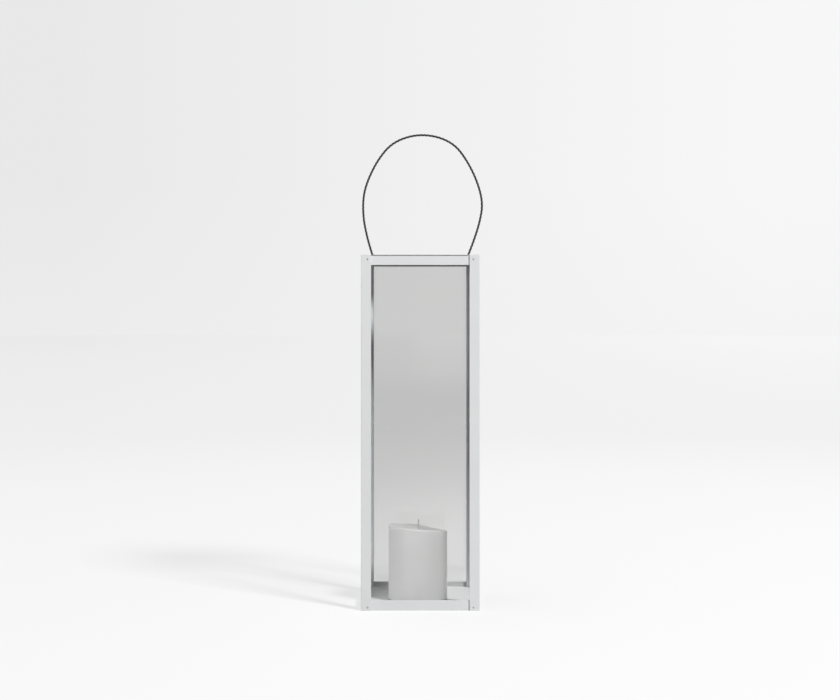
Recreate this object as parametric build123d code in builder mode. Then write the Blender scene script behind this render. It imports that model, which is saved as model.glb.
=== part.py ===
from build123d import *
import os
from math import radians, sqrt, tan

os.makedirs("parts", exist_ok=True)

# Square candle lantern of angle posts, screwed rails, four panes, a vented roof and a cord handle.
# Millimetres, +Z up, origin at the centre of the footprint on the ground, front towards -Y.

# Frame of angle posts and flat rails
lantern_width = 150.0
lantern_height = 450.0
post_leg = 12.7
post_wall = 1.6
post_edge_radius = 0.5
rail_thickness = 2.0
bottom_rail_height = 13.0
top_rail_height = 11.4
flange_width = 20.0
flange_thickness = 2.0
joint_gap = 0.1

# Roof plate and base plate
roof_thickness = 1.6
vent_diameter = 42.0
vent_edge_chamfer = 0.4
base_thickness = 4.0
base_lift = 2.1

# Panes, the beads in the inner corners and the pads under the panes
pane_thickness = 3.0
pane_clearance = 0.3
pane_corner_gap = 2.1
pane_top_gap = 0.9
pane_edge_chamfer = 0.4
bead_leg = 5.2
bead_wall = 1.6
pad_length = 12.0
pad_height = 1.0
pad_pitch = 80.0

# Countersunk screws with a hexagon socket
screw_radius = 1.0
screw_head_radius = 1.75
screw_socket_radius = 0.95
screw_socket_depth = 0.55
screw_clearance = 0.08
screw_tip_gap = 0.15
screw_cone_angle = 90.0
screw_inset = 8.1
top_screw_drop = 6.0
bottom_screw_height = 4.1
screw_stagger = 4.9
base_screw_grip = 6.0
side_roof_screw_pitch = 92.0
back_roof_screw_pitch = 60.0

# Cord handle with a turned ball ferrule on each end, caught under a slot in the roof
cord_diameter = 3.0
cord_sides = 12
ball_diameter = 7.0
ball_profile_sides = 12
ball_bore_clearance = 0.05
ball_seat_gap = 0.3
handle_foot_inset = 15.5
slot_width = 5.8
slot_length = 15.0
slot_shift = 2.1
arc_share = 0.45
# Points of the cord between its two ball ends: across the lantern, and above the roof
handle_route = [
    (-63.5, 4.0),
    (-69.5, 25.0),
    (-74.5, 50.0),
    (-74.5, 78.0),
    (-68.0, 100.0),
    (-55.5, 125.0),
    (-37.5, 147.0),
    (-9.5, 158.0),
    (19.5, 157.0),
    (44.5, 146.0),
    (60.5, 125.5),
    (74.5, 97.5),
    (82.0, 68.5),
    (77.5, 43.0),
    (70.2, 20.5),
    (63.9, 4.0),
]

# Pillar candle with an uneven, dished top
candle_diameter = 76.0
candle_height = 92.3
candle_x = -3.1
candle_y = -22.0
candle_top_fall_x = 0.111
candle_top_fall_y = 0.03
candle_top_chamfer = 2.2
candle_foot_chamfer = 1.2
melt_pool_diameter = 52.0
melt_pool_depth = 2.0
wick_diameter = 1.6
wick_hole_clearance = 0.1
wick_x = -2.2
wick_stand = 10.5
wick_sunk = 12.0
wick_tip_chamfer = 0.4

# Faces that the pieces share, measured out from the middle of the lantern
half_width = lantern_width / 2
leg_inner = half_width - post_wall
rail_inner = leg_inner - rail_thickness
pane_outer = rail_inner - pane_clearance
pane_inner = pane_outer - pane_thickness
pane_half_width = pane_inner - pane_corner_gap
bead_outer = pane_inner - pane_clearance
flange_inner = leg_inner - flange_width
flange_middle = leg_inner - flange_width / 2
screw_line = half_width - screw_inset
handle_foot_x = half_width - handle_foot_inset

# Levels that the pieces share, measured up from the ground
base_top = base_lift + base_thickness
pane_bottom = base_top + pad_height
roof_bottom = lantern_height - roof_thickness
flange_bottom = roof_bottom - flange_thickness
top_rail_bottom = roof_bottom - top_rail_height
fixed_pane_top = flange_bottom - pane_top_gap
front_top_screw = lantern_height - top_screw_drop
front_bottom_screw = bottom_screw_height
side_top_screw = front_top_screw - screw_stagger / 2
side_bottom_screw = bottom_screw_height + screw_stagger

# Sides of the lantern as (name, direction out of that side)
sides = {"front": (0, -1), "back": (0, 1), "left": (-1, 0), "right": (1, 0)}
corners = {
    "front_left": (-1, -1),
    "front_right": (1, -1),
    "back_left": (-1, 1),
    "back_right": (1, 1),
}


def keep(part, name):
    """Label a finished piece and write it as its own file."""
    part.label = name
    export_step(part, f"parts/{name}.step")


def side_screw_levels(side):
    """Heights of the lower and the upper frame screws on one side of the lantern."""
    if side in ("front", "back"):
        return front_bottom_screw, front_top_screw
    return side_bottom_screw, side_top_screw


def side_plane(side, along, level, outward):
    """Plane on one side of the lantern, at a distance out from the middle, facing outwards."""
    out_x, out_y = sides[side]
    origin = (out_x * outward + abs(out_y) * along, out_y * outward + abs(out_x) * along, level)
    return Plane(origin=origin, z_dir=(out_x, out_y, 0))


def side_bar(side, length, near, far, low, high):
    """Centre and size of a straight bar along one side, between two distances from the middle."""
    out_x, out_y = sides[side]
    middle = (near + far) / 2
    depth = far - near
    centre = (out_x * middle, out_y * middle, (low + high) / 2)
    if out_x:
        return centre, (depth, length, high - low)
    return centre, (length, depth, high - low)


def angle_outline(sign_x, sign_y, outer, leg, wall):
    """Corner points of an angle section with its outer corner at one corner of the lantern."""
    tip = outer - leg
    inner = outer - wall
    steps = [(outer, outer), (tip, outer), (tip, inner), (inner, inner), (inner, tip), (outer, tip)]
    return [(sign_x * x, sign_y * y) for x, y in steps]


def make_post(corner):
    """Corner post: an angle over the whole height, countersunk for a screw at each end of each leg."""
    sign_x, sign_y = corners[corner]
    seats = []
    for side, along in ((corner.split("_")[0], sign_x), (corner.split("_")[1], sign_y)):
        for level in side_screw_levels(side):
            seats.append(side_plane(side, along * screw_line, level, half_width))
    with BuildPart() as post:
        with BuildSketch():
            with BuildLine():
                Polyline(*angle_outline(sign_x, sign_y, half_width, post_leg, post_wall), close=True)
            make_face()
        extrude(amount=lantern_height)
        nose = post.edges().filter_by(Axis.Z).sort_by(lambda edge: sign_x * edge.center().X
                                                      + sign_y * edge.center().Y)[-1]
        fillet(nose, post_edge_radius)
        with Locations(*seats):
            CounterSinkHole(
                screw_radius + screw_clearance,
                screw_head_radius + screw_clearance,
                depth=post_wall,
                counter_sink_angle=screw_cone_angle,
            )
    keep(post.part, f"{corner}_post")


def rail_length(side):
    """Side rails run between the posts' legs, front and back rails between the side rails."""
    reach = rail_inner if side in ("front", "back") else leg_inner
    return 2 * (reach - joint_gap)


def make_bottom_rail(side):
    """Flat bar behind the posts' legs, tapped for the lower frame screws."""
    centre, size = side_bar(side, rail_length(side), rail_inner, leg_inner, 0, bottom_rail_height)
    level = side_screw_levels(side)[0]
    with BuildPart() as rail:
        with Locations(centre):
            Box(*size)
        with Locations(*[side_plane(side, along, level, leg_inner) for along in (-screw_line, screw_line)]):
            Hole(screw_radius + screw_clearance, depth=rail_thickness)
    keep(rail.part, f"{side}_bottom_rail")


def make_top_rail(side):
    """Top rail behind the posts' legs; all but the front one have a flange under the roof plate."""
    length = rail_length(side)
    level = side_screw_levels(side)[1]
    centre, size = side_bar(side, length, rail_inner, leg_inner, top_rail_bottom, roof_bottom)
    with BuildPart() as rail:
        with Locations(centre):
            Box(*size)
        if side == "back":
            flange_length = 2 * (flange_inner - joint_gap)
            spot, flange = side_bar(side, flange_length, flange_inner, rail_inner, flange_bottom, roof_bottom)
            with Locations(spot):
                Box(*flange)
        if side in ("left", "right"):
            out_x = sides[side][0]
            back_end = rail_inner - joint_gap
            with Locations((out_x * (flange_inner + rail_inner) / 2, (back_end - bead_outer) / 2,
                            (flange_bottom + roof_bottom) / 2)):
                Box(rail_inner - flange_inner, back_end + bead_outer, flange_thickness)
            with BuildSketch(Plane.XY.offset(flange_bottom)):
                with Locations((out_x * (handle_foot_x + slot_shift), 0)):
                    SlotOverall(slot_length, slot_width, rotation=90)
            extrude(amount=flange_thickness, mode=Mode.SUBTRACT)
        with Locations(*[side_plane(side, along, level, leg_inner) for along in (-screw_line, screw_line)]):
            Hole(screw_radius + screw_clearance, depth=rail_thickness)
        seats = [seat for owner, seat in roof_screw_seats(roof_bottom) if owner == side]
        if seats:
            with Locations(*seats):
                Hole(screw_radius + screw_clearance, depth=flange_thickness)
    keep(rail.part, f"{side}_top_rail")


def roof_screw_seats(level):
    """Places of the roof screws, on the middle lines of the flanges that they go into."""
    seats = []
    for side, (out_x, out_y) in sides.items():
        if side == "front":
            continue
        pitch = back_roof_screw_pitch if side == "back" else side_roof_screw_pitch
        for along in (-pitch / 2, pitch / 2):
            spot = (out_x * flange_middle + abs(out_y) * along, out_y * flange_middle + abs(out_x) * along)
            seats.append((side, Location((*spot, level))))
    return seats


def make_roof_plate():
    """Roof plate between the posts, behind the front pane, with a vent and the handle's two slots."""
    edge = leg_inner - joint_gap
    with BuildPart() as roof:
        with BuildSketch(Plane.XY.offset(roof_bottom)):
            with Locations((0, (edge - bead_outer) / 2)):
                Rectangle(2 * edge, edge + bead_outer)
            Circle(vent_diameter / 2, mode=Mode.SUBTRACT)
            with Locations((-handle_foot_x - slot_shift, 0), (handle_foot_x + slot_shift, 0)):
                SlotOverall(slot_length, slot_width, rotation=90, mode=Mode.SUBTRACT)
        extrude(amount=roof_thickness)
        vent_edges = [edge for edge in roof.edges().filter_by(GeomType.CIRCLE)
                      if abs(edge.radius - vent_diameter / 2) < vent_edge_chamfer]
        chamfer(vent_edges, vent_edge_chamfer)
        with Locations(*[seat for _, seat in roof_screw_seats(lantern_height)]):
            CounterSinkHole(
                screw_radius + screw_clearance,
                screw_head_radius + screw_clearance,
                depth=roof_thickness,
                counter_sink_angle=screw_cone_angle,
            )
    keep(roof.part, "roof_plate")


def base_screw_places():
    """The lower front and back screws, which reach through the rails into the base plate's edges."""
    return [(side, along) for side in ("front", "back") for along in (-screw_line, screw_line)]


def make_base_plate():
    """Base plate inside the bottom rails, tapped in its front and back edges."""
    edge = rail_inner - joint_gap
    with BuildPart() as base:
        with Locations((0, 0, base_lift + base_thickness / 2)):
            Box(2 * edge, 2 * edge, base_thickness)
        seats = [side_plane(side, along, front_bottom_screw, edge) for side, along in base_screw_places()]
        with Locations(*seats):
            Hole(screw_radius + screw_clearance, depth=base_screw_grip + screw_tip_gap)
    keep(base.part, "base_plate")


def make_pane(side):
    """Glass pane with seamed edges; the front one reaches up to the tops of the posts."""
    top = lantern_height if side == "front" else fixed_pane_top
    centre, size = side_bar(side, 2 * pane_half_width, pane_inner, pane_outer, pane_bottom, top)
    with BuildPart() as pane:
        with Locations(centre):
            Box(*size)
        chamfer(pane.edges(), pane_edge_chamfer)
    keep(pane.part, f"{side}_pane")


def make_pads(side):
    """Two setting pads between a pane's lower edge and the base plate."""
    with BuildPart() as pads:
        for along in (-pad_pitch / 2, pad_pitch / 2):
            out_x, out_y = sides[side]
            centre, size = side_bar(side, pad_length, pane_inner, pane_outer, base_top, pane_bottom)
            shifted = (centre[0] + abs(out_y) * along, centre[1] + abs(out_x) * along, centre[2])
            with Locations(shifted):
                Box(*size)
    keep(pads.part, f"{side}_pads")


def make_bead(corner):
    """Inner glazing bead: a small angle from the base plate to the flange, behind two panes' edges."""
    sign_x, sign_y = corners[corner]
    with BuildPart() as bead:
        with BuildSketch(Plane.XY.offset(base_top)):
            with BuildLine():
                Polyline(*angle_outline(sign_x, sign_y, bead_outer, bead_leg, bead_wall), close=True)
            make_face()
        extrude(amount=flange_bottom - base_top)
    keep(bead.part, f"{corner}_bead")


def make_screw(length):
    """Countersunk screw along -Z, its flat head at the level of its seat."""
    cone = (screw_head_radius - screw_radius) / tan(radians(screw_cone_angle / 2))
    with BuildPart() as screw:
        with BuildSketch(Plane.XZ):
            with BuildLine():
                Polyline((0, 0), (screw_head_radius, 0), (screw_radius, -cone), (screw_radius, -length),
                         (0, -length), close=True)
            make_face()
        revolve(axis=Axis.Z)
        with BuildSketch():
            RegularPolygon(screw_socket_radius, 6)
        extrude(amount=-screw_socket_depth, mode=Mode.SUBTRACT)
    return screw.part


def make_frame_screws(side):
    """The four frame screws of one side; the lower front and back ones also hold the base plate."""
    short = post_wall + rail_thickness - screw_tip_gap
    lower = short
    if side in ("front", "back"):
        lower = post_wall + rail_thickness + joint_gap + base_screw_grip
    with BuildPart() as screws:
        for level, length in zip(side_screw_levels(side), (lower, short)):
            with Locations(*[side_plane(side, along, level, half_width) for along in (-screw_line, screw_line)]):
                add(make_screw(length))
    keep(screws.part, f"{side}_screws")


def make_roof_screws():
    """Screws that hold the roof plate to the flanges."""
    with BuildPart() as screws:
        with Locations(*[seat for _, seat in roof_screw_seats(lantern_height)]):
            add(make_screw(roof_thickness + flange_thickness - screw_tip_gap))
    keep(screws.part, "roof_screws")


def ball_centre(sign_x):
    """Middle of a ball ferrule, which sits just under the inner edge of its slot."""
    slot_edge = handle_foot_x + slot_shift - slot_width / 2
    reach = ball_diameter / 2 + ball_seat_gap
    drop = sqrt(reach**2 - (handle_foot_x - slot_edge) ** 2)
    return Vector(sign_x * handle_foot_x, 0, flange_bottom - drop)


def cord_points():
    """The cord's route from one ball ferrule to the other."""
    between = [Vector(x, 0, lantern_height + height) for x, height in handle_route]
    return [ball_centre(-1), *between, ball_centre(1)]


def cord_radii(points):
    """Radius of the arc at each corner of the route, as large as its two runs allow."""
    radii = []
    for before, corner, after in zip(points, points[1:], points[2:]):
        arriving = corner - before
        leaving = after - corner
        turn = radians(arriving.get_angle(leaving))
        radii.append(arc_share * min(arriving.length, leaving.length) / tan(turn / 2))
    return radii


def make_handle_cord():
    """Cord from ball to ball, as a many-sided tube along straight runs and tangent arcs."""
    points = cord_points()
    radii = cord_radii(points)
    with BuildPart() as cord:
        with BuildLine() as route:
            FilletPolyline(*points, radius=radii)
        with BuildSketch(Plane(origin=points[0], z_dir=points[1] - points[0])) as section:
            RegularPolygon(cord_diameter / 2, cord_sides)
        sweep(path=route.wires()[0])
    length = route.wires()[0].length
    expected = section.sketch.area * length
    print("cord arc radii", [round(radius, 1) for radius in radii])
    print("cord length", round(length, 1), "volume", round(cord.part.volume, 1), "of", round(expected, 1))
    keep(cord.part, "handle_cord")


def make_ferrule(name, sign_x):
    """Ball ferrule turned in flats, bored from its crown to its middle for the cord's end."""
    points = cord_points()
    if sign_x > 0:
        points.reverse()
    with BuildPart() as ferrule:
        with BuildSketch(Plane.XZ):
            RegularPolygon(ball_diameter / 2, ball_profile_sides, rotation=180 / ball_profile_sides)
            split(bisect_by=Plane.YZ)
        revolve(axis=Axis.Z)
        with BuildSketch():
            Circle(cord_diameter / 2 + ball_bore_clearance)
        extrude(amount=ball_diameter / 2, mode=Mode.SUBTRACT)
    bore_plane = Plane(origin=points[0], z_dir=points[1] - points[0])
    keep(bore_plane.location * ferrule.part, name)


def make_candle():
    """Pillar candle on the base plate: uneven top with a bevelled shoulder and a dished melt pool."""
    top = base_top + candle_height
    slope = Plane(origin=(candle_x, candle_y, top), z_dir=(candle_top_fall_x, candle_top_fall_y, 1))
    pool_sphere = (melt_pool_diameter**2 / 4 + melt_pool_depth**2) / (2 * melt_pool_depth)
    pool_centre = slope.origin + slope.z_dir * (pool_sphere - melt_pool_depth)
    with BuildPart() as candle:
        with Locations((candle_x, candle_y, base_top)):
            Cylinder(candle_diameter / 2, candle_height * 2, align=(Align.CENTER, Align.CENTER, Align.MIN))
        split(bisect_by=slope, keep=Keep.BOTTOM)
        chamfer(candle.faces().sort_by(Axis.Z)[-1].edges(), candle_top_chamfer)
        chamfer(candle.faces().sort_by(Axis.Z)[0].edges(), candle_foot_chamfer)
        with Locations(pool_centre):
            Sphere(pool_sphere, mode=Mode.SUBTRACT)
        with Locations((wick_x, candle_y, top - wick_sunk)):
            Cylinder(
                wick_diameter / 2 + wick_hole_clearance,
                wick_sunk * 2,
                align=(Align.CENTER, Align.CENTER, Align.MIN),
                mode=Mode.SUBTRACT,
            )
    keep(candle.part, "candle")


def make_wick():
    """Wick standing in the candle."""
    foot = base_top + candle_height - wick_sunk
    with BuildPart() as wick:
        with Locations((wick_x, candle_y, foot)):
            Cylinder(
                wick_diameter / 2,
                wick_sunk + wick_stand,
                align=(Align.CENTER, Align.CENTER, Align.MIN),
            )
        chamfer(wick.faces().sort_by(Axis.Z)[-1].edges(), wick_tip_chamfer)
    keep(wick.part, "wick")


for corner_name in corners:
    make_post(corner_name)
    make_bead(corner_name)
for side_name in sides:
    make_bottom_rail(side_name)
    make_top_rail(side_name)
    make_pane(side_name)
    make_pads(side_name)
    make_frame_screws(side_name)
make_roof_plate()
make_roof_screws()
make_base_plate()
make_handle_cord()
make_ferrule("left_ferrule", -1)
make_ferrule("right_ferrule", 1)
make_candle()
make_wick()
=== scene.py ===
import logging
from dataclasses import dataclass
from enum import Enum
from math import atan2, cos, exp, pi, radians, sin, tan, tau
from typing import Any, Callable, Iterable

import bmesh
import bpy
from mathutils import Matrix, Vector


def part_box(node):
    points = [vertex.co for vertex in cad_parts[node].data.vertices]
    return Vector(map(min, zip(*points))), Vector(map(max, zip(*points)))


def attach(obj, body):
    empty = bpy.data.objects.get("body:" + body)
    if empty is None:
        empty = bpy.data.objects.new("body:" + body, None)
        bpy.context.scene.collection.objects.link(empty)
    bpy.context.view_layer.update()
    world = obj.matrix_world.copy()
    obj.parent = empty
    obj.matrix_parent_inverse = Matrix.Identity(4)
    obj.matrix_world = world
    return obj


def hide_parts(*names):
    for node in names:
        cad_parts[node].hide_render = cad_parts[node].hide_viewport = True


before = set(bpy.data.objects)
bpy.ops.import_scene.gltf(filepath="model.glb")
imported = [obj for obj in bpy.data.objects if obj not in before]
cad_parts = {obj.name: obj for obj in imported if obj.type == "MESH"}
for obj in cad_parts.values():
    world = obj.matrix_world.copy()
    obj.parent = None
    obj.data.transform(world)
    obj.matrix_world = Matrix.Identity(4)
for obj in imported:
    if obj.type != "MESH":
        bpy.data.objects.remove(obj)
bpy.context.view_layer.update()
LOG = logging.getLogger("lantern")

Colour = tuple[float, float, float, float]
Span = tuple[float, float]
Socket = bpy.types.NodeSocket

SIDES = ("front", "back", "left", "right")
KEY_LAMP = "key_lamp"
# A face is square to an axis where this share of its normal, or more, lies along it.
SQUARE_TO = 0.99
# Levels that differ by less, in metres, are the same.
SAME_LEVEL = 1e-6


class Slot(Enum):
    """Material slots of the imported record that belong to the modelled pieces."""

    GLASS = "glass"
    CORD = "handle_cord"
    WAX = "candle_wax"
    COTTON = "wick_cotton"


class Pick(Enum):
    """Kinds of mesh element that can be picked in edit mode."""

    EDGES = "EDGE"
    FACES = "FACE"


def grey(value: float) -> Colour:
    """Make a linear grey."""
    return (value, value, value, 1.0)


class NodeSheet:
    """A node tree with short calls that add, set and link its nodes."""

    def __init__(self, tree: bpy.types.NodeTree) -> None:
        """Keep the tree that the nodes go into."""
        self.tree = tree

    @classmethod
    def of(cls, owner: bpy.types.Material | bpy.types.World) -> "NodeSheet":
        """Clear the node tree of a material or a world.

        Args:
            owner: The material or world.

        Returns:
            The sheet of its empty tree.
        """
        owner.use_nodes = True
        owner.node_tree.nodes.clear()
        return cls(owner.node_tree)

    def add(self, kind: str, inputs: dict[Any, Any] | None = None, **settings: Any) -> bpy.types.Node:
        """Add one node.

        Args:
            kind: Blender's name of the node type.
            inputs: Values or output sockets for its inputs, by name or number.
            settings: Properties of the node itself.

        Returns:
            The new node.
        """
        node = self.tree.nodes.new(kind)
        for key, value in settings.items():
            setattr(node, key, value)
        for key, value in (inputs or {}).items():
            if isinstance(value, Socket):
                self.tree.links.new(value, node.inputs[key])
            else:
                node.inputs[key].default_value = value
        return node

    def math(self, operation: str, first: Any, second: Any = 0.0) -> Socket:
        """Work out one value from two numbers or sockets, by Blender's name of the operation."""
        return self.add("ShaderNodeMath", {0: first, 1: second}, operation=operation).outputs[0]

    def spread(self, value: Any, low: float, high: float, to_low: Any = 0.0, to_high: Any = 1.0,
               smooth: bool = False) -> Socket:
        """Map a range of values onto another one.

        Args:
            value: Number or socket that is mapped.
            low: Value that becomes to_low.
            high: Value that becomes to_high.
            to_low: Number or socket for the low end.
            to_high: Number or socket for the high end.
            smooth: Whether the change eases in and out.

        Returns:
            The output socket.
        """
        easing = "SMOOTHSTEP" if smooth else "LINEAR"
        inputs = {"Value": value, "From Min": low, "From Max": high, "To Min": to_low, "To Max": to_high}
        return self.add("ShaderNodeMapRange", inputs, interpolation_type=easing).outputs["Result"]

    def between(self, share: Any, low: Any, high: Any) -> Socket:
        """Take a value between two ends, by a share from 0 at the low end to 1 at the high one."""
        return self.spread(share, 0.0, 1.0, low, high)

    def blend(self, factor: Any, first: Any, second: Any) -> Socket:
        """Mix two colours by a factor, the second one's share."""
        return self.add("ShaderNodeMix", {0: factor, 6: first, 7: second}, data_type="RGBA").outputs[2]

    def shader_mix(self, factor: Any, first: bpy.types.Node, second: bpy.types.Node) -> Socket:
        """Mix the shaders of two nodes by a factor, the second one's share."""
        inputs = {0: factor, 1: first.outputs[0], 2: second.outputs[0]}
        return self.add("ShaderNodeMixShader", inputs).outputs[0]

    def place(self, output: str = "Object") -> Socket:
        """Add a Texture Coordinate node and return one of its outputs."""
        return self.add("ShaderNodeTexCoord").outputs[output]

    def axes(self, where: Socket) -> Any:
        """Split a place into its three numbers and return their sockets."""
        return self.add("ShaderNodeSeparateXYZ", {0: where}).outputs

    def noise(self, scale: Any, detail: Any, roughness: float = 0.5) -> Socket:
        """Add noise in the piece's own space, with its waves in a metre and its finer layers."""
        inputs = {"Vector": self.place(), "Scale": scale, "Detail": detail, "Roughness": roughness}
        return self.add("ShaderNodeTexNoise", inputs).outputs[0]

    def bump(self, height: Socket, strength: float, depth: float) -> Socket:
        """Make a relief with a depth in metres and return its normal."""
        inputs = {"Height": height, "Strength": strength, "Distance": depth}
        return self.add("ShaderNodeBump", inputs).outputs[0]

    def group(self, name: str, **values: float) -> Any:
        """Place a shared node group with its own values and return its output sockets."""
        return self.add("ShaderNodeGroup", values, node_tree=bpy.data.node_groups[name]).outputs


class SurfaceEffects:
    """Node groups that more than one finish uses."""

    PEEL = "orange_peel"
    MOTTLE = "mottle"
    TWIST = "twisted_yarn"

    NOISE_RANGE: Span = (0.3, 0.7)
    WAVE_RANGE: Span = (0.35, 0.65)
    GRAIN_SHARE = 0.25
    HAIR_SCALE = 2600.0
    HAIR_TONE: Span = (0.55, 1.0)
    HAIR_SHARE = 0.5
    CREST_RANGE: Span = (-0.2, 1.0)

    @staticmethod
    def start(name: str, inputs: dict[str, float], outputs: Iterable[str]) -> tuple[NodeSheet, Any]:
        """Make an empty group with its sockets.

        Args:
            name: Name of the group.
            inputs: Names of its number inputs, with their usual values.
            outputs: Names of its number outputs.

        Returns:
            The group's sheet and the sockets of its inputs.
        """
        tree = bpy.data.node_groups.new(name, "ShaderNodeTree")
        for label, value in inputs.items():
            socket = tree.interface.new_socket(label, in_out="INPUT", socket_type="NodeSocketFloat")
            socket.default_value = value
        for label in outputs:
            tree.interface.new_socket(label, in_out="OUTPUT", socket_type="NodeSocketFloat")
        sheet = NodeSheet(tree)
        return sheet, sheet.add("NodeGroupInput").outputs

    def build(self) -> None:
        """Build every shared group once."""
        self.build_peel()
        self.build_mottle()
        self.build_twist()

    def build_peel(self) -> None:
        """Orange peel of a baked coat: soft waves and a finer grain, as a height and a mask."""
        sheet, given = self.start(self.PEEL, {"Waves": 700.0, "Grain": 5200.0}, ("Height", "Mask"))
        waves = sheet.noise(given["Waves"], detail=1.5)
        grain = sheet.noise(given["Grain"], detail=0.0)
        sheet.add("NodeGroupOutput", {
            "Height": sheet.math("ADD", waves, sheet.math("MULTIPLY", grain, self.GRAIN_SHARE)),
            "Mask": sheet.spread(waves, *self.WAVE_RANGE),
        })

    def build_mottle(self) -> None:
        """Slow uneven tone, as cast wax, rubber and handled metal have it."""
        sheet, given = self.start(self.MOTTLE, {"Scale": 60.0, "Detail": 4.0}, ("Tone", "Height"))
        noise = sheet.noise(given["Scale"], given["Detail"], roughness=0.55)
        sheet.add("NodeGroupOutput", {"Tone": sheet.spread(noise, *self.NOISE_RANGE), "Height": noise})

    def build_twist(self) -> None:
        """Yarns that wind round a strand, read from the strand's own map; their tone is darkest in the
        grooves between yarns, as painted shade.
        """
        sheet, given = self.start(self.TWIST, {"Yarns": 5.0, "Turns": 2.0}, ("Tone", "Height", "Crest"))
        flat = sheet.axes(sheet.place("UV"))
        around = sheet.math("MULTIPLY", flat[0], given["Yarns"])
        along = sheet.math("MULTIPLY", flat[1], given["Turns"])
        phase = sheet.math("MULTIPLY", sheet.math("ADD", around, along), tau)
        ridge = sheet.spread(sheet.math("SINE", phase), -1.0, 1.0)
        hair = sheet.noise(self.HAIR_SCALE, detail=3.0)
        outward = sheet.math("COSINE", sheet.math("MULTIPLY", flat[0], tau))
        sheet.add("NodeGroupOutput", {
            # Tone follows the ridges and is darkest in the grooves between yarns: painted shade, with a
            # random fibre tone on top.
            "Tone": sheet.math("MULTIPLY", ridge, sheet.spread(hair, *self.NOISE_RANGE, *self.HAIR_TONE)),
            "Height": sheet.math("ADD", ridge, sheet.math("MULTIPLY", hair, self.HAIR_SHARE)),
            "Crest": sheet.spread(outward, *self.CREST_RANGE, smooth=True),
        })


@dataclass(frozen=True)
class Finish:
    """A finish with a name and a way to make its material."""

    name: str

    def start(self) -> NodeSheet:
        """Make the material and open its empty tree."""
        return NodeSheet.of(bpy.data.materials.new(self.name))

    def close(self, sheet: NodeSheet, shader: Socket) -> bpy.types.Material:
        """Show a shader and return the finished material."""
        sheet.add("ShaderNodeOutputMaterial", {"Surface": shader})
        return bpy.data.materials[self.name]

    def close_solid(self, sheet: NodeSheet, inputs: dict[str, Any]) -> bpy.types.Material:
        """Show one Principled shader with these inputs and return the finished material."""
        return self.close(sheet, sheet.add("ShaderNodeBsdfPrincipled", inputs).outputs[0])

    def build(self) -> bpy.types.Material:
        """Make the material; each finish has its own way."""
        raise NotImplementedError


@dataclass(frozen=True)
class PowderCoat(Finish):
    """White baked coat with a fine orange peel and a satin gloss."""

    name: str = "white_powder_coat"
    shade: Colour = (0.775, 0.785, 0.792, 1.0)
    light: Colour = (0.80, 0.808, 0.814, 1.0)
    rough: Span = (0.36, 0.46)
    shine: float = 0.5
    peel_depth: float = 0.00001

    def build(self) -> bpy.types.Material:
        """Make the coat.

        Returns:
            The material.
        """
        sheet = self.start()
        peel = sheet.group(SurfaceEffects.PEEL, Waves=650.0, Grain=5200.0)
        mottle = sheet.group(SurfaceEffects.MOTTLE, Scale=22.0, Detail=3.0)
        return self.close_solid(sheet, {
            "Base Color": sheet.blend(mottle["Tone"], self.shade, self.light),
            "Roughness": sheet.between(peel["Mask"], *self.rough),
            "Specular IOR Level": self.shine,
            "Normal": sheet.bump(peel["Height"], strength=0.5, depth=self.peel_depth),
        })


@dataclass(frozen=True)
class PaintedLightPlateCoat(PowderCoat):
    """Copy of the white coat for the base plate, brighter than the frame's to paint extra light into its
    lit side (painted light), and less shiny.
    """

    name: str = "white_plate_coat_painted_light"
    # Reflectance higher than the frame's coat, which paints extra light into the plate's lit side.
    shade: Colour = (0.92, 0.925, 0.93, 1.0)
    light: Colour = (0.94, 0.945, 0.95, 1.0)
    shine: float = 0.15


@dataclass(frozen=True)
class CoatedScrew(Finish):
    """Screw whose flat head is coated with the frame and whose socket and shank are bare dark steel; in the
    sockets this dark steel is partly painted shade.
    """

    name: str = "coated_screw"
    head: Colour = (0.74, 0.748, 0.755, 1.0)
    steel: Colour = (0.34, 0.34, 0.345, 1.0)
    rough: Span = (0.3, 0.45)
    rougher_head: float = 0.05
    side_face: float = 0.0749
    top_face: float = 0.4499
    peel_depth: float = 0.000006

    def build(self) -> bpy.types.Material:
        """Make the screw's finish, with the coat only on the heads' outer faces.

        Returns:
            The material.
        """
        sheet = self.start()
        x, y, z = sheet.axes(sheet.place())
        across = sheet.math("MAXIMUM", sheet.math("ABSOLUTE", x), sheet.math("ABSOLUTE", y))
        # Coat on the heads' outer faces only; the dark steel left in each socket also stands in for the
        # shade there (painted shade).
        outer = sheet.math("MAXIMUM", sheet.math("GREATER_THAN", across, self.side_face),
                           sheet.math("GREATER_THAN", z, self.top_face))
        mottle = sheet.group(SurfaceEffects.MOTTLE, Scale=900.0, Detail=3.0)
        peel = sheet.group(SurfaceEffects.PEEL, Waves=900.0, Grain=6000.0)
        return self.close_solid(sheet, {
            "Base Color": sheet.blend(outer, self.steel, self.head),
            "Metallic": sheet.math("SUBTRACT", 1.0, outer),
            "Roughness": sheet.math("ADD", sheet.between(mottle["Tone"], *self.rough),
                                    sheet.math("MULTIPLY", outer, self.rougher_head)),
            "Normal": sheet.bump(peel["Height"], strength=0.5, depth=self.peel_depth),
        })


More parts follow.
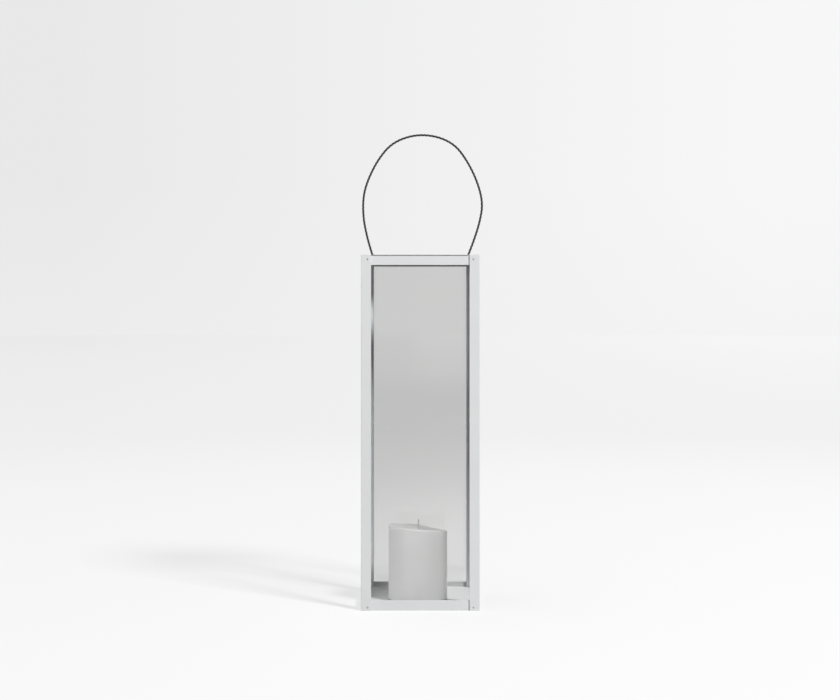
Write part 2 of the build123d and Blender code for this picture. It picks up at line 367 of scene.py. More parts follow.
@dataclass(frozen=True)
class TurnedSteel(Finish):
    """Turned steel of the handle's ball ends, with fine turning marks."""

    name: str = "turned_steel"
    dark: Colour = (0.36, 0.36, 0.37, 1.0)
    light: Colour = (0.52, 0.52, 0.53, 1.0)
    rough: Span = (0.26, 0.4)
    mark_depth: float = 0.000008

    def build(self) -> bpy.types.Material:
        """Make the steel.

        Returns:
            The material.
        """
        sheet = self.start()
        mottle = sheet.group(SurfaceEffects.MOTTLE, Scale=700.0, Detail=5.0)
        lines = sheet.add("ShaderNodeTexWave", {"Vector": sheet.place(), "Scale": 900.0, "Distortion": 0.6},
                          bands_direction="Z")
        return self.close_solid(sheet, {
            "Base Color": sheet.blend(mottle["Tone"], self.dark, self.light),
            "Metallic": 1.0,
            "Roughness": sheet.between(mottle["Tone"], *self.rough),
            "Normal": sheet.bump(lines.outputs["Fac"], strength=0.4, depth=self.mark_depth),
        })


@dataclass(frozen=True)
class PadRubber(Finish):
    """Dull pale rubber of the setting pads."""

    name: str = "pad_rubber_pale"
    dark: Colour = (0.68, 0.68, 0.675, 1.0)
    bloom: Colour = (0.76, 0.76, 0.755, 1.0)
    rough: Span = (0.62, 0.82)
    grain_depth: float = 0.00004

    def build(self) -> bpy.types.Material:
        """Make the rubber.

        Returns:
            The material.
        """
        sheet = self.start()
        mottle = sheet.group(SurfaceEffects.MOTTLE, Scale=480.0, Detail=6.0)
        return self.close_solid(sheet, {
            "Base Color": sheet.blend(mottle["Tone"], self.dark, self.bloom),
            "Roughness": sheet.between(mottle["Tone"], *self.rough),
            "Normal": sheet.bump(mottle["Height"], strength=0.6, depth=self.grain_depth),
        })


@dataclass(frozen=True)
class GreyGlass(Finish):
    """Clear float glass with a faint grey body tint; lamps shine through it."""

    name: str = "grey_float_glass"
    tint: Colour = (0.833, 0.833, 0.832, 1.0)
    lamp_share: Colour = (0.93, 0.93, 0.93, 1.0)
    room_share: Colour = (0.72, 0.72, 0.72, 1.0)
    index: float = 1.5
    wave_scale: float = 9.0
    wave_depth: float = 0.00002

    def build(self) -> bpy.types.Material:
        """Make the glass of a pane's two faces.

        Returns:
            The material.
        """
        sheet = self.start()
        waves = sheet.noise(self.wave_scale, detail=1.0)
        glass = sheet.add("ShaderNodeBsdfPrincipled", {
            "Base Color": self.tint,
            "Roughness": 0.0,
            "IOR": self.index,
            "Transmission Weight": 1.0,
            "Normal": sheet.bump(waves, strength=0.2, depth=self.wave_depth),
        })
        path = sheet.add("ShaderNodeLightPath").outputs
        room = path["Is Diffuse Ray"]
        clear = sheet.add("ShaderNodeBsdfTransparent", {
            "Color": sheet.blend(room, self.lamp_share, self.room_share),
        })
        lamps = sheet.math("MAXIMUM", path["Is Shadow Ray"], room)
        return self.close(sheet, sheet.shader_mix(lamps, glass, clear))


@dataclass(frozen=True)
class GroundEdge(Finish):
    """Ground, frosted edge of a pane."""

    name: str = "ground_glass_edge"
    dark: Colour = (0.42, 0.45, 0.44, 1.0)
    light: Colour = (0.58, 0.60, 0.595, 1.0)
    rough: Span = (0.4, 0.55)
    clearness: float = 0.5
    grind_depth: float = 0.00003

    def build(self) -> bpy.types.Material:
        """Make the frosted edge.

        Returns:
            The material.
        """
        sheet = self.start()
        mottle = sheet.group(SurfaceEffects.MOTTLE, Scale=1600.0, Detail=5.0)
        return self.close_solid(sheet, {
            "Base Color": sheet.blend(mottle["Tone"], self.dark, self.light),
            "Roughness": sheet.between(mottle["Tone"], *self.rough),
            "Transmission Weight": self.clearness,
            "Normal": sheet.bump(mottle["Height"], strength=0.5, depth=self.grind_depth),
        })


@dataclass(frozen=True)
class CandleWax(Finish):
    """Pale, faintly mottled wax that lets light in under its skin."""

    name: str = "candle_wax_white"
    shade: Colour = (0.80, 0.798, 0.793, 1.0)
    light: Colour = (0.84, 0.838, 0.833, 1.0)
    rough: Span = (0.42, 0.56)
    inner_share: float = 0.6
    inner_reach: tuple[float, float, float] = (1.0, 0.98, 0.96)
    inner_depth: float = 0.2
    fine_share: float = 0.3
    skin_depth: float = 0.00006

    def build(self) -> bpy.types.Material:
        """Make the wax.

        Returns:
            The material.
        """
        sheet = self.start()
        slow = sheet.group(SurfaceEffects.MOTTLE, Scale=45.0, Detail=5.0)
        fine = sheet.group(SurfaceEffects.MOTTLE, Scale=420.0, Detail=3.0)
        height = sheet.math("ADD", slow["Height"], sheet.math("MULTIPLY", fine["Height"], self.fine_share))
        return self.close_solid(sheet, {
            "Base Color": sheet.blend(slow["Tone"], self.shade, self.light),
            "Roughness": sheet.between(fine["Tone"], *self.rough),
            "Subsurface Weight": self.inner_share,
            "Subsurface Radius": self.inner_reach,
            "Subsurface Scale": self.inner_depth,
            "Normal": sheet.bump(height, strength=0.35, depth=self.skin_depth),
        })


@dataclass(frozen=True)
class CordYarn(Finish):
    """Charcoal yarn of the laid cord, with fibres that wind round each strand and paler crests, partly
    abrasion and partly a painted highlight.
    """

    name: str = "charcoal_cord_yarn"
    dark: Colour = (0.003, 0.003, 0.0035, 1.0)
    light: Colour = (0.012, 0.012, 0.013, 1.0)
    # Paler crest tone: partly abrasion, partly painted highlight standing in for the light on the crests.
    worn_and_highlight: Colour = (0.1, 0.1, 0.103, 1.0)
    worn_and_highlight_range: Span = (0.2, 0.8)
    rough: Span = (0.75, 0.5)
    sheen: float = 0.15
    sheen_rough: float = 0.4
    yarn_depth: float = 0.00012

    def build(self) -> bpy.types.Material:
        """Make the yarn.

        Returns:
            The material.
        """
        sheet = self.start()
        twist = sheet.group(SurfaceEffects.TWIST, Yarns=4.0, Turns=420.0)
        body = sheet.blend(twist["Tone"], self.dark, self.light)
        worn_and_highlight_mask = sheet.math("MULTIPLY", twist["Crest"], sheet.between(twist["Tone"], *self.worn_and_highlight_range))
        return self.close_solid(sheet, {
            "Base Color": sheet.blend(worn_and_highlight_mask, body, self.worn_and_highlight),
            "Roughness": sheet.between(twist["Tone"], *self.rough),
            "Sheen Weight": self.sheen,
            "Sheen Roughness": self.sheen_rough,
            "Normal": sheet.bump(twist["Height"], strength=0.7, depth=self.yarn_depth),
        })


@dataclass(frozen=True)
class WickCotton(Finish):
    """Waxed cotton of the wick."""

    name: str = "wick_cotton_waxed"
    dark: Colour = (0.44, 0.435, 0.425, 1.0)
    light: Colour = (0.72, 0.715, 0.70, 1.0)
    rough: Span = (0.8, 0.6)
    yarn_depth: float = 0.0001

    def build(self) -> bpy.types.Material:
        """Make the cotton.

        Returns:
            The material.
        """
        sheet = self.start()
        twist = sheet.group(SurfaceEffects.TWIST, Yarns=6.0, Turns=300.0)
        return self.close_solid(sheet, {
            "Base Color": sheet.blend(twist["Tone"], self.dark, self.light),
            "Roughness": sheet.between(twist["Tone"], *self.rough),
            "Normal": sheet.bump(twist["Height"], strength=0.6, depth=self.yarn_depth),
        })


class Bench:
    """Modelling steps that several pieces share."""

    @staticmethod
    def clear() -> None:
        """Leave nothing selected, in object mode."""
        if bpy.context.object and bpy.context.object.mode != "OBJECT":
            bpy.ops.object.mode_set(mode="OBJECT")
        bpy.ops.object.select_all(action="DESELECT")

    @staticmethod
    def edit(piece: bpy.types.Object) -> None:
        """Open one piece in edit mode with nothing picked.

        Args:
            piece: The piece.
        """
        bpy.context.view_layer.objects.active = piece
        bpy.ops.object.mode_set(mode="EDIT")
        bpy.ops.mesh.select_all(action="DESELECT")

    @staticmethod
    def pick(piece: bpy.types.Object, kind: Pick, test: Callable[[Any], bool]) -> None:
        """Pick the elements of a piece in edit mode that pass a test.

        Args:
            piece: The piece in edit mode.
            kind: Which kind of element is picked.
            test: Says whether an element is picked.
        """
        bpy.ops.mesh.select_mode(type=kind.value)
        bpy.ops.mesh.select_all(action="DESELECT")
        mesh = bmesh.from_edit_mesh(piece.data)
        elements = mesh.edges if kind is Pick.EDGES else mesh.faces
        picked = [element for element in elements if test(element)]
        for element in picked:
            element.select_set(True)
        mesh.select_flush_mode()
        bmesh.update_edit_mesh(piece.data)

    @staticmethod
    def top(edge: bmesh.types.BMEdge) -> float:
        """Level of an edge's higher end."""
        return max(vert.co.z for vert in edge.verts)

    @staticmethod
    def bottom(edge: bmesh.types.BMEdge) -> float:
        """Level of an edge's lower end."""
        return min(vert.co.z for vert in edge.verts)

    @staticmethod
    def settle(piece: bpy.types.Object, name: str, smooth_angle: float) -> None:
        """Leave edit mode, put the piece's place into its mesh and shade it.

        Args:
            piece: The piece.
            name: Its name.
            smooth_angle: Edges that turn by less are shaded smooth.
        """
        Bench.clear()
        piece.name = name
        piece.select_set(True)
        bpy.context.view_layer.objects.active = piece
        bpy.ops.object.transform_apply(location=True, rotation=True, scale=True)
        bpy.ops.object.shade_smooth_by_angle(angle=smooth_angle)
        Bench.clear()

    @staticmethod
    def hand_over(piece: bpy.types.Object, body: str, slot: Slot, *nodes: str) -> None:
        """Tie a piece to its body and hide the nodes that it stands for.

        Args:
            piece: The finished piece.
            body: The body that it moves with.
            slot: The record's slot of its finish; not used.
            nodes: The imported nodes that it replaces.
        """
        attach(piece, body)
        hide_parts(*nodes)
        LOG.info("%s stands for %s on %s", piece.name, ", ".join(nodes), body)


@dataclass(frozen=True)
class SoftLamp:
    """A broad lamp that is far away, with its place and its spread in degrees."""

    strength: float
    azimuth: float
    height: float
    spread: float


@dataclass
class Studio:
    """Camera, light, floor and backdrop."""

    camera_place: tuple[float, float, float] = (-0.0064, -2.275, 0.404)
    sensor: float = 36.0
    lens: float = 74.65
    shift: Span = (0.00556, -0.0702)
    key_strength: float = 3.44
    key_distance: float = 8.0
    key_aim: float = 0.22
    key_azimuth: float = radians(43.4)
    key_height: float = radians(41.8)
    key_spread: float = radians(11.5)
    wax_lamps: tuple[SoftLamp, ...] = (
        SoftLamp(1.75, 43.4, 40.5, 16.0), SoftLamp(2.55, -60.0, 25.0, 60.0),
        SoftLamp(0.65, -5.0, 20.0, 60.0), SoftLamp(1.05, 100.0, 25.0, 60.0),
    )
    sky_span: Span = (-0.6, 0.4)
    sky_tones: Span = (0.74, 0.03)
    backdrop: float = 0.872
    backdrop_width: Span = (-0.2, 0.2)
    backdrop_rise: Span = (-0.08, 0.06)
    backdrop_tilt: Span = (0.016, 0.06)
    mirror_share: float = 0.82
    floor_radius: float = 14.0
    floor_sides: int = 96
    floor_seen: float = 0.93
    floor_bounce: float = 0.2
    floor_glow: float = 0.944
    glow_run: Span = (0.1, 0.6)
    glow_share: Span = (0.69, 0.81)
    fade_run: Span = (1.3, 3.0)
    tilt_run: Span = (2.5, 12.0)
    floor_tilt: Span = (0.014, 0.05)
    pool_width: Span = (-0.07, 0.07)
    pool_lean: Span = (0.85, 1.2)
    # Distance from the lantern, and the tone there.
    pool_tones: tuple[Span, ...] = (
        (0.45, 1.05), (0.8, 0.95), (1.2, 0.62), (1.6, 0.3),
        (2.6, 0.14), (4.4, 0.05), (6.7, 0.42), (13.0, 0.66),
    )

    def build(self) -> None:
        """Set up the whole studio."""
        bpy.context.scene.view_settings.view_transform = "Standard"
        self.build_camera()
        self.build_key()
        self.build_sky()
        self.build_floor()

    def build_camera(self) -> None:
        """Camera at the photograph's place, level, looking to the back."""
        data = bpy.data.cameras.new("photo_camera")
        data.lens = self.lens
        data.sensor_width = self.sensor
        data.shift_x, data.shift_y = self.shift
        camera = bpy.data.objects.new("photo_camera", data)
        camera.location = self.camera_place
        camera.rotation_euler = (pi / 2, 0.0, 0.0)
        bpy.context.scene.collection.objects.link(camera)
        bpy.context.scene.camera = camera

    @staticmethod
    def hang_lamp(name: str, kind: str, energy: float) -> bpy.types.Object:
        """Put a new lamp into the scene.

        Args:
            name: Its name.
            kind: Blender's name of the lamp type.
            energy: Its energy.

        Returns:
            The lamp.
        """
        data = bpy.data.lights.new(name, kind)
        data.energy = energy
        lamp = bpy.data.objects.new(name, data)
        bpy.context.scene.collection.objects.link(lamp)
        return lamp

    def build_key(self) -> None:
        """Broad key lamp from the front right."""
        lamp = self.hang_lamp(KEY_LAMP, "POINT", self.key_strength * 4 * pi * self.key_distance**2)
        lamp.data.shadow_soft_size = self.key_distance * tan(self.key_spread / 2)
        level = self.key_distance * cos(self.key_height)
        rise = self.key_distance * sin(self.key_height)
        lamp.location = (level * sin(self.key_azimuth), -level * cos(self.key_azimuth), self.key_aim + rise)

    def light_apart(self, piece: bpy.types.Object) -> None:
        """Light one piece that shades itself with softer lamps of its own in place of the key.

        Args:
            piece: The only piece that these lamps light.
        """
        others = bpy.data.collections.new("lit_by_key")
        others.objects.link(piece)
        others.collection_objects[0].light_linking.link_state = "EXCLUDE"
        bpy.data.objects[KEY_LAMP].light_linking.receiver_collection = others
        alone = bpy.data.collections.new("lit_apart")
        alone.objects.link(piece)
        for soft in self.wax_lamps:
            lamp = self.hang_lamp("wax_lamp", "SUN", soft.strength)
            lamp.data.angle = radians(soft.spread)
            lamp.rotation_euler = (radians(90.0 - soft.height), 0.0, radians(soft.azimuth))
            lamp.light_linking.receiver_collection = alone

    @staticmethod
    def seen(sheet: NodeSheet) -> Socket:
        """Share of rays that see the background: straight, through glass or in a mirror.

        Args:
            sheet: The sheet that gets the nodes.

        Returns:
            The output socket.
        """
        path = sheet.add("ShaderNodeLightPath").outputs
        direct = sheet.math("MAXIMUM", path["Is Camera Ray"], path["Is Transmission Ray"])
        return sheet.math("MAXIMUM", direct, path["Is Glossy Ray"])

    @staticmethod
    def mirrored(sheet: NodeSheet, depth: Socket) -> Socket:
        """Share of rays that a shiny face has thrown back into the room behind the camera.

        Args:
            sheet: The sheet that gets the nodes.
            depth: Place or direction along Y, which is below 0 towards the camera.

        Returns:
            The output socket.
        """
        path = sheet.add("ShaderNodeLightPath").outputs
        thrown = sheet.math("MINIMUM", path["Glossy Depth"], 1.0)
        return sheet.math("MULTIPLY", thrown, sheet.math("LESS_THAN", depth, 0.0))

    def build_sky(self) -> None:
        """Soft light, mostly from the left, seen as a pale backdrop a little brighter to the right."""
        world = bpy.data.worlds.new("studio")
        bpy.context.scene.world = world
        world.cycles.sampling_method = "NONE"
        sheet = NodeSheet.of(world)
        x, y, z = sheet.axes(sheet.place("Generated"))
        across = sheet.spread(x, *self.backdrop_width, -1.0, 1.0)
        tilt = sheet.math("MULTIPLY", across, sheet.spread(z, *self.backdrop_rise, *self.backdrop_tilt))
        dim = sheet.between(self.mirrored(sheet, y), 1.0, self.mirror_share)
        pale = sheet.math("MULTIPLY", sheet.math("ADD", self.backdrop, tilt), dim)
        wall = sheet.add("ShaderNodeBackground", {"Color": pale, "Strength": 1.0})
        soft = sheet.spread(x, *self.sky_span, *self.sky_tones, smooth=True)
        light = sheet.add("ShaderNodeBackground", {"Color": soft, "Strength": 1.0})
        sheet.add("ShaderNodeOutputWorld", {"Surface": sheet.shader_mix(self.seen(sheet), light, wall)})

    def build_floor(self) -> None:
        """Wide pale floor that keeps the shadow near the lantern and fades into the backdrop."""
        Bench.clear()
        bpy.ops.mesh.primitive_circle_add(vertices=self.floor_sides, radius=self.floor_radius,
                                          fill_type="NGON")
        floor = bpy.context.object
        floor.name = "studio_floor"
        floor.data.materials.append(self.floor_material())
        Bench.clear()

    def floor_material(self) -> bpy.types.Material:
        """Matt paper near the lantern, mixed with a glow that lightens its shadow as painted light, more so
        farther out; farther out still the backdrop's own tone.

        Returns:
            The floor's material.
        """
        material = bpy.data.materials.new("studio_paper")
        sheet = NodeSheet.of(material)
        where = sheet.place()
        reach = sheet.add("ShaderNodeVectorMath", {0: where}, operation="LENGTH").outputs["Value"]
        x, y, _ = sheet.axes(where)
        seen = self.seen(sheet)
        mirrored = self.mirrored(sheet, y)
        paper = sheet.add("ShaderNodeBsdfDiffuse", {
            "Color": sheet.blend(seen, grey(self.floor_bounce), grey(self.floor_seen)),
        })
        aside = sheet.math("DIVIDE", x, sheet.math("ADD", reach, -self.camera_place[1]))
        across = sheet.spread(aside, *self.backdrop_width, -1.0, 1.0)
        tilt = sheet.math("MULTIPLY", across, sheet.spread(reach, *self.tilt_run, *self.floor_tilt))
        away = sheet.spread(reach, *self.fade_run, smooth=True)
        pale = sheet.math("ADD", sheet.between(away, self.floor_glow, self.backdrop), tilt)
        lean = sheet.spread(x, *self.pool_width, *self.pool_lean)
        pool = sheet.math("MULTIPLY", self.mirror_pool(sheet, reach), lean)
        glow = sheet.add("ShaderNodeEmission", {"Color": sheet.blend(mirrored, pale, pool)})
        # The glow's share grows with distance from the lantern, so its shadow fades outwards: painted
        # light.
        near = sheet.spread(reach, *self.glow_run, *self.glow_share)
        lit = sheet.math("MAXIMUM", sheet.between(away, near, 1.0), mirrored)
        mixed = sheet.shader_mix(sheet.math("MULTIPLY", lit, seen), paper, glow)
        sheet.add("ShaderNodeOutputMaterial", {"Surface": mixed})
        return material

    def mirror_pool(self, sheet: NodeSheet, reach: Socket) -> Socket:
        """Tone of the floor in mirrors: a pool of light round the lantern and dark ground past the paper.

        Args:
            sheet: The sheet that gets the nodes.
            reach: Distance from the lantern.

        Returns:
            The output socket.
        """
        pool = sheet.add("ShaderNodeValToRGB", {0: sheet.math("DIVIDE", reach, self.floor_radius)})
        steps = pool.color_ramp.elements
        while len(steps) < len(self.pool_tones):
            steps.new(0.5)
        for step, (distance, tone) in zip(steps, self.pool_tones):
            step.position = distance / self.floor_radius
            step.color = grey(tone)
        return pool.outputs[0]


@dataclass
class CordHandle:
    """Handle of stiff three-strand laid cord, from one ball end to the other."""

    # Control points of the cord's line, across and up.
    route: tuple[Span, ...] = (
        (-0.0595, 0.442685), (-0.0635, 0.454), (-0.0695, 0.475), (-0.0745, 0.5), (-0.0745, 0.528),
        (-0.068, 0.55), (-0.0555, 0.575), (-0.0375, 0.597), (-0.0095, 0.608), (0.0195, 0.607),
        (0.0445, 0.596), (0.0605, 0.5755), (0.0745, 0.5475), (0.082, 0.5185), (0.0775, 0.493),
        (0.0702, 0.4705), (0.0639, 0.454), (0.0595, 0.442685),
    )
    length: float = 0.417
    diameter: float = 0.003
    strands: int = 3
    lay: float = 0.0145
    strand_share: float = 0.48
    sides: int = 10
    steps: int = 40
    least_step: float = 1e-7
    smooth_angle: float = radians(60)

    def read_line(self) -> list[Vector]:
        """Lay the smooth line through the route and read its points.

        Returns:
            Points along the cord's middle.
        """
        curve = bpy.data.curves.new("handle_line", "CURVE")
        curve.dimensions = "3D"
        curve.resolution_u = self.steps
        spline = curve.splines.new("NURBS")
        spline.points.add(len(self.route) - 1)
        for point, (x, z) in zip(spline.points, self.route):
            point.co = (x, 0.0, z, 1.0)
        spline.order_u = 3
        spline.use_endpoint_u = True
        holder = bpy.data.objects.new("handle_line", curve)
        bpy.context.scene.collection.objects.link(holder)
        bpy.context.view_layer.update()
        mesh = bpy.data.meshes.new_from_object(holder)
        points = [vertex.co.copy() for vertex in mesh.vertices]
        bpy.data.objects.remove(holder)
        bpy.data.curves.remove(curve)
        bpy.data.meshes.remove(mesh)
        moved = [point for before, point in zip(points, points[1:])
                 if (point - before).length > self.least_step]
        return points[:1] + moved

    @staticmethod
    def directions(points: list[Vector]) -> list[Vector]:
        """Direction of a line at each of its points."""
        last = len(points) - 1
        return [(points[min(at + 1, last)] - points[max(at - 1, 0)]).normalized() for at in range(last + 1)]

    def wind(self, line: list[Vector], turn: float, reach: float) -> tuple[list[Vector], list[float]]:
        """Wind one strand round the cord's line.

        Args:
            line: Points along the cord's middle.
            turn: Angle at which the strand starts.
            reach: Distance of the strand's middle from the line.

        Returns:
            The strand's middle points and their distances along the cord.
        """
        middles, travelled = [], []
        run = 0.0
        across = Vector((0.0, 1.0, 0.0))
        for at, (point, ahead) in enumerate(zip(line, self.directions(line))):
            run += (point - line[at - 1]).length if at else 0.0
            angle = turn + tau * run / self.lay
            middles.append(point + (across.cross(ahead) * cos(angle) + across * sin(angle)) * reach)
            travelled.append(run)
        return middles, travelled

    def skin(self, line: list[Vector]) -> tuple[list[Vector], list[tuple[int, ...]], list[Span]]:
        """Lay rings of points round every strand and close them with faces.

        Args:
            line: Points along the cord's middle.

        Returns:
            The points, the faces and the map's place of each point.
        """
        radius = self.diameter / 2
        thick = radius * self.strand_share
        points, faces, marks = [], [], []
        for strand in range(self.strands):
            middles, travelled = self.wind(line, tau * strand / self.strands, radius - thick)
            faces.extend(self.strand_faces(len(points), len(middles)))
            for middle, axis, ahead, run in zip(middles, line, self.directions(middles), travelled):
                out = (middle - axis).normalized()
                out = (out - ahead * out.dot(ahead)).normalized()
                aside = ahead.cross(out)
                for side in range(self.sides):
                    angle = tau * side / self.sides
                    points.append(middle + (out * cos(angle) + aside * sin(angle)) * thick)
                    marks.append((side / self.sides, run))
        return points, faces, marks

    def strand_faces(self, start: int, rings: int) -> list[tuple[int, ...]]:
        """Faces between one strand's rings, and the two that close its ends.

        Args:
            start: Number of the strand's first point.
            rings: How many rings it has.

        Returns:
            The faces, by the numbers of their points.
        """
        faces = []
        last = start + (rings - 1) * self.sides
        for here in range(start, last, self.sides):
            above = here + self.sides
            for side in range(self.sides):
                after = (side + 1) % self.sides
                faces.append((here + side, here + after, above + after, above + side))
        faces.append(tuple(reversed(range(start, start + self.sides))))
        faces.append(tuple(range(last, last + self.sides)))
        return faces

    def build(self, material: bpy.types.Material) -> bpy.types.Object:
        """Build the strands as one mesh with its own map.

        Args:
            material: The yarn's material.

        Returns:
            The cord.
        """
        line = self.read_line()
        points, faces, marks = self.skin(line)
        mesh = bpy.data.meshes.new("laid_cord")
        mesh.from_pydata(points, [], faces)
        self.map_strands(mesh, marks)
        mesh.materials.append(material)
        cord = bpy.data.objects.new("laid_cord", mesh)
        bpy.context.scene.collection.objects.link(cord)
        Bench.settle(cord, "laid_cord", self.smooth_angle)
        Bench.hand_over(cord, "handle", Slot.CORD, "handle_cord")
        return cord

    @staticmethod
    def map_strands(mesh: bpy.types.Mesh, marks: list[Span]) -> None:
        """Write each strand's map: round the strand, and along the cord in metres.

        Args:
            mesh: The strands' mesh.
            marks: The map's place of each point.
        """
        half_round = 0.5
        layer = mesh.uv_layers.new(name="lay")
        for face in mesh.polygons:
            turns = [marks[mesh.loops[loop].vertex_index][0] for loop in face.loop_indices]
            seam = max(turns) - min(turns) > half_round and len(turns) == 4
            for loop in face.loop_indices:
                around, along = marks[mesh.loops[loop].vertex_index]
                layer.data[loop].uv = (around + 1.0 if seam and around < half_round else around, along)


@dataclass
class Pane:
    """One glass pane with polished faces and ground edges."""

    side: str
    edge_width: float = 0.0004
    edge_steps: int = 2
    smooth_angle: float = radians(20)

    def build(self, glass: bpy.types.Material, edge: bpy.types.Material) -> bpy.types.Object:
        """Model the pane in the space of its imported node.

        Args:
            glass: Material of the two faces.
            edge: Material of the ground edges.

        Returns:
            The pane.
        """
        low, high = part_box(f"{self.side}_pane")
        size = high - low
        Bench.clear()
        bpy.ops.mesh.primitive_cube_add(size=1.0, location=(low + high) / 2)
        pane = bpy.context.object
        pane.scale = size
        bpy.ops.object.transform_apply(location=True, rotation=True, scale=True)
        Bench.edit(pane)
        Bench.pick(pane, Pick.EDGES, lambda rim: True)
        bpy.ops.mesh.bevel(offset=self.edge_width, segments=self.edge_steps, affect="EDGES")
        thin = 0 if size.x < size.y else 1
        pane.data.materials.append(glass)
        pane.data.materials.append(edge)
        Bench.pick(pane, Pick.FACES, lambda face: abs(face.normal[thin]) < SQUARE_TO)
        pane.active_material_index = 1
        bpy.ops.object.material_slot_assign()
        Bench.settle(pane, f"{self.side}_glass_pane", self.smooth_angle)
        body = "front_pane" if self.side == "front" else "frame"
        Bench.hand_over(pane, body, Slot.GLASS, f"{self.side}_pane")
        return pane


@dataclass(frozen=True)
class LowSpot:
    """A dent in the candle's rim, by its direction, the angle over which it fades and its depth."""

    at: float
    width: float
    depth: float

    def drop(self, turn: float) -> float:
        """How far the rim drops in a direction: most at the dent's middle, less to its sides."""
        apart = (turn - self.at + pi) % tau - pi
        return self.depth * exp(-((apart / self.width) ** 2))


@dataclass
class PillarCandle:
    """Pillar candle with a rounded shoulder and an uneven, shallowly dished top."""

    segments: int = 128
    stands: float = 0.0923
    fall_across: float = 0.111
    fall_back: float = 0.03
    shoulder: float = 0.0014
    shoulder_steps: int = 6
    foot: float = 0.0012
    foot_steps: int = 3
    rim: float = 0.0075
    # Width and drop of each ring of the dish, from the rim inwards.
    dish_rings: tuple[Span, ...] = (
        (0.003, 0.0004), (0.005, 0.0007), (0.007, 0.0005), (0.007, 0.0003), (0.005, 0.0001),
    )
    side_rings: int = 14
    side_wander: float = 0.00016
    side_part: Span = (0.02, 0.97)
    # Waves round the candle, their climb up its side, and their size.
    side_waves: tuple[tuple[int, int, float], ...] = ((2, 5, 0.6), (5, -9, 0.4))
    rim_wander: float = 0.00035
    rim_waves: int = 3
    rim_phase: float = 0.7
    # How fast the rim's unevenness fades inwards and downwards.
    rim_powers: tuple[int, int] = (4, 8)
    sag: float = 0.0009
    low_spots: tuple[LowSpot, ...] = (
        LowSpot(radians(125), radians(22), 0.0015), LowSpot(radians(207), radians(16), 0.0013),
    )
    smooth_angle: float = radians(60)

    def build(self, material: bpy.types.Material) -> bpy.types.Object:
        """Model the candle on the base plate.

        Args:
            material: The wax.

        Returns:
            The candle.
        """
        low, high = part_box("candle")
        middle = (low + high) / 2
        radius = (high.x - low.x) / 2
        top = low.z + self.stands
        Bench.clear()
        bpy.ops.mesh.primitive_cylinder_add(vertices=self.segments, radius=radius, depth=self.stands,
                                            location=(middle.x, middle.y, low.z + self.stands / 2))
        candle = bpy.context.object
        bpy.ops.object.transform_apply(location=True, rotation=True, scale=True)
        Bench.edit(candle)
        Bench.pick(candle, Pick.EDGES, lambda edge: Bench.top(edge) - Bench.bottom(edge) > self.shoulder)
        bpy.ops.mesh.subdivide(number_cuts=self.side_rings)
        Bench.pick(candle, Pick.EDGES, lambda edge: Bench.bottom(edge) > top - SAME_LEVEL)
        bpy.ops.mesh.bevel(offset=self.shoulder, segments=self.shoulder_steps, affect="EDGES")
        Bench.pick(candle, Pick.EDGES, lambda edge: Bench.top(edge) < low.z + SAME_LEVEL)
        bpy.ops.mesh.bevel(offset=self.foot, segments=self.foot_steps, affect="EDGES")
        Bench.pick(candle, Pick.FACES, lambda face: face.normal.z > SQUARE_TO and len(face.verts) > 4)
        bpy.ops.mesh.inset(thickness=self.rim)
        for width, drop in self.dish_rings:
            bpy.ops.mesh.inset(thickness=width, depth=-drop)
        bpy.ops.mesh.poke()
        Bench.clear()
        self.weather(candle, middle, low.z, top, radius)
        candle.data.materials.append(material)
        Bench.settle(candle, "wax_candle", self.smooth_angle)
        Bench.hand_over(candle, "candle", Slot.WAX, "candle")
        return candle

    def weather(self, candle: bpy.types.Object, middle: Vector, foot: float, top: float,
                radius: float) -> None:
        """Tilt the top and let sides and rim wander a little, as on a poured candle.

        Args:
            candle: The candle.
            middle: Middle of the candle's space.
            foot: Level that it stands on.
            top: Level of the top's middle.
            radius: The candle's radius.
        """
        lowest, highest = self.side_part
        outwards, upwards = self.rim_powers
        for vertex in candle.data.vertices:
            across = vertex.co.x - middle.x
            back = vertex.co.y - middle.y
            share = (vertex.co.z - foot) / (top - foot)
            out = Vector((across, back, 0.0))
            turn = atan2(back, across)
            if lowest < share < highest:
                wander = sum(size * sin(waves * turn + climb * share)
                             for waves, climb, size in self.side_waves)
                vertex.co += out.normalized() * (wander - 1.0) * self.side_wander
            vertex.co.z -= (self.fall_across * across + self.fall_back * back) * share
            edge = min(1.0, out.length / radius) ** outwards * max(0.0, share) ** upwards
            vertex.co.z += self.rim_rise(turn) * edge

    def rim_rise(self, turn: float) -> float:
        """How far the rim stands above its tilted plane in a direction.

        Args:
            turn: The direction, as an angle round the candle.

        Returns:
            The rise, which is below 0 where the rim has slumped or is dented.
        """
        # Lowest at the back right and highest at the front right, with less of both on the left.
        slump = 0.5 * cos(2 * turn) + sin(2 * turn) * (1.0 + cos(turn))
        dents = sum(spot.drop(turn) for spot in self.low_spots)
        return self.rim_wander * sin(self.rim_waves * turn + self.rim_phase) - self.sag * slump - dents


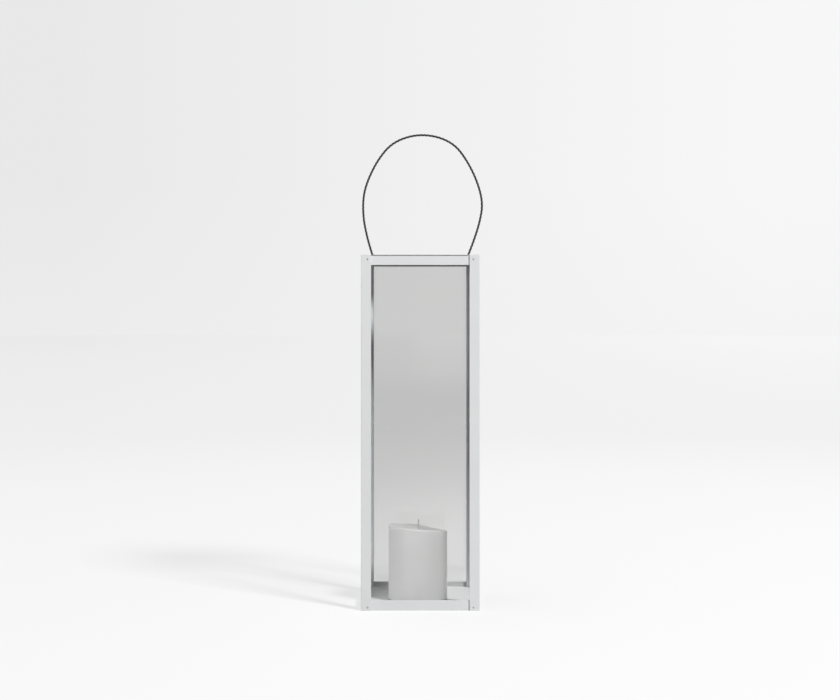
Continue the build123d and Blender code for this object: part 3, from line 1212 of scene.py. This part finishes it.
@dataclass
class Wick:
    """Twisted cotton wick, trimmed a little above the wax."""

    lobes: int = 3
    sides: int = 18
    lobe_share: float = 0.16
    rings: int = 30
    turn: float = radians(24)
    lean: float = 0.0004
    smooth_angle: float = radians(50)

    def build(self, material: bpy.types.Material) -> bpy.types.Object:
        """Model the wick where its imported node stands.

        Args:
            material: The cotton.

        Returns:
            The wick.
        """
        low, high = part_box("wick")
        middle = (low + high) / 2
        radius = (high.x - low.x) / 2
        step = (high.z - low.z) / self.rings
        Bench.clear()
        bpy.ops.mesh.primitive_circle_add(vertices=self.sides, radius=radius, fill_type="NGON",
                                          location=(middle.x, middle.y, low.z))
        wick = bpy.context.object
        bpy.ops.object.transform_apply(location=True, rotation=True, scale=True)
        for at, vertex in enumerate(wick.data.vertices):
            dip = self.lobe_share * (1.0 - cos(tau * self.lobes * at / self.sides)) / 2
            vertex.co.x += (middle.x - vertex.co.x) * dip
            vertex.co.y += (middle.y - vertex.co.y) * dip
        Bench.edit(wick)
        bpy.ops.mesh.select_all(action="SELECT")
        for ring in range(self.rings):
            drift = self.lean * (ring / self.rings) ** 2
            bpy.ops.mesh.extrude_region_move(TRANSFORM_OT_translate={"value": (drift, 0.0, step)})
            bpy.ops.transform.rotate(value=self.turn, orient_axis="Z",
                                     center_override=(middle.x, middle.y, low.z + step * (ring + 1)))
        bpy.ops.mesh.select_all(action="SELECT")
        bpy.ops.mesh.normals_make_consistent(inside=False)
        bpy.ops.uv.cylinder_project(direction="ALIGN_TO_OBJECT", scale_to_bounds=True)
        wick.data.materials.append(material)
        Bench.settle(wick, "cotton_wick", self.smooth_angle)
        Bench.hand_over(wick, "candle", Slot.COTTON, "wick")
        return wick


@dataclass
class CoatedFrame:
    """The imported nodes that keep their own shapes, with a finish for each ending of their names."""

    finishes: dict[str, bpy.types.Material]

    def finish_of(self, node: str) -> bpy.types.Material:
        """Choose a node's finish by its name.

        Args:
            node: The node's name.

        Returns:
            The material of its slots.
        """
        for ending, material in self.finishes.items():
            if node.endswith(ending):
                return material
        raise KeyError(node)

    def dress(self, replaced: set[str]) -> None:
        """Give every shown node its finish.

        Args:
            replaced: Nodes that a modelled piece stands for.
        """
        for name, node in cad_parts.items():
            if name in replaced:
                continue
            material = self.finish_of(name)
            for slot in node.material_slots:
                slot.material = material
            LOG.info("%s keeps its shape and gets %s", name, material.name)


def main() -> None:
    """Build the studio and the lantern's pieces in order."""
    logging.basicConfig(level=logging.INFO, format="%(name)s: %(message)s")
    SurfaceEffects().build()
    studio = Studio()
    studio.build()
    CordHandle().build(CordYarn().build())
    glass = GreyGlass().build()
    edge = GroundEdge().build()
    for side in SIDES:
        Pane(side).build(glass, edge)
    studio.light_apart(PillarCandle().build(CandleWax().build()))
    Wick().build(WickCotton().build())
    coat = PowderCoat().build()
    dressing = CoatedFrame({
        "base_plate": PaintedLightPlateCoat().build(),
        "_post": coat,
        "_bead": coat,
        "_rail": coat,
        "_plate": coat,
        "_screws": CoatedScrew().build(),
        "_ferrule": TurnedSteel().build(),
        "_pads": PadRubber().build(),
    })
    dressing.dress({f"{side}_pane" for side in SIDES} | {"handle_cord", "candle", "wick"})


if __name__ == "__main__":
    main()
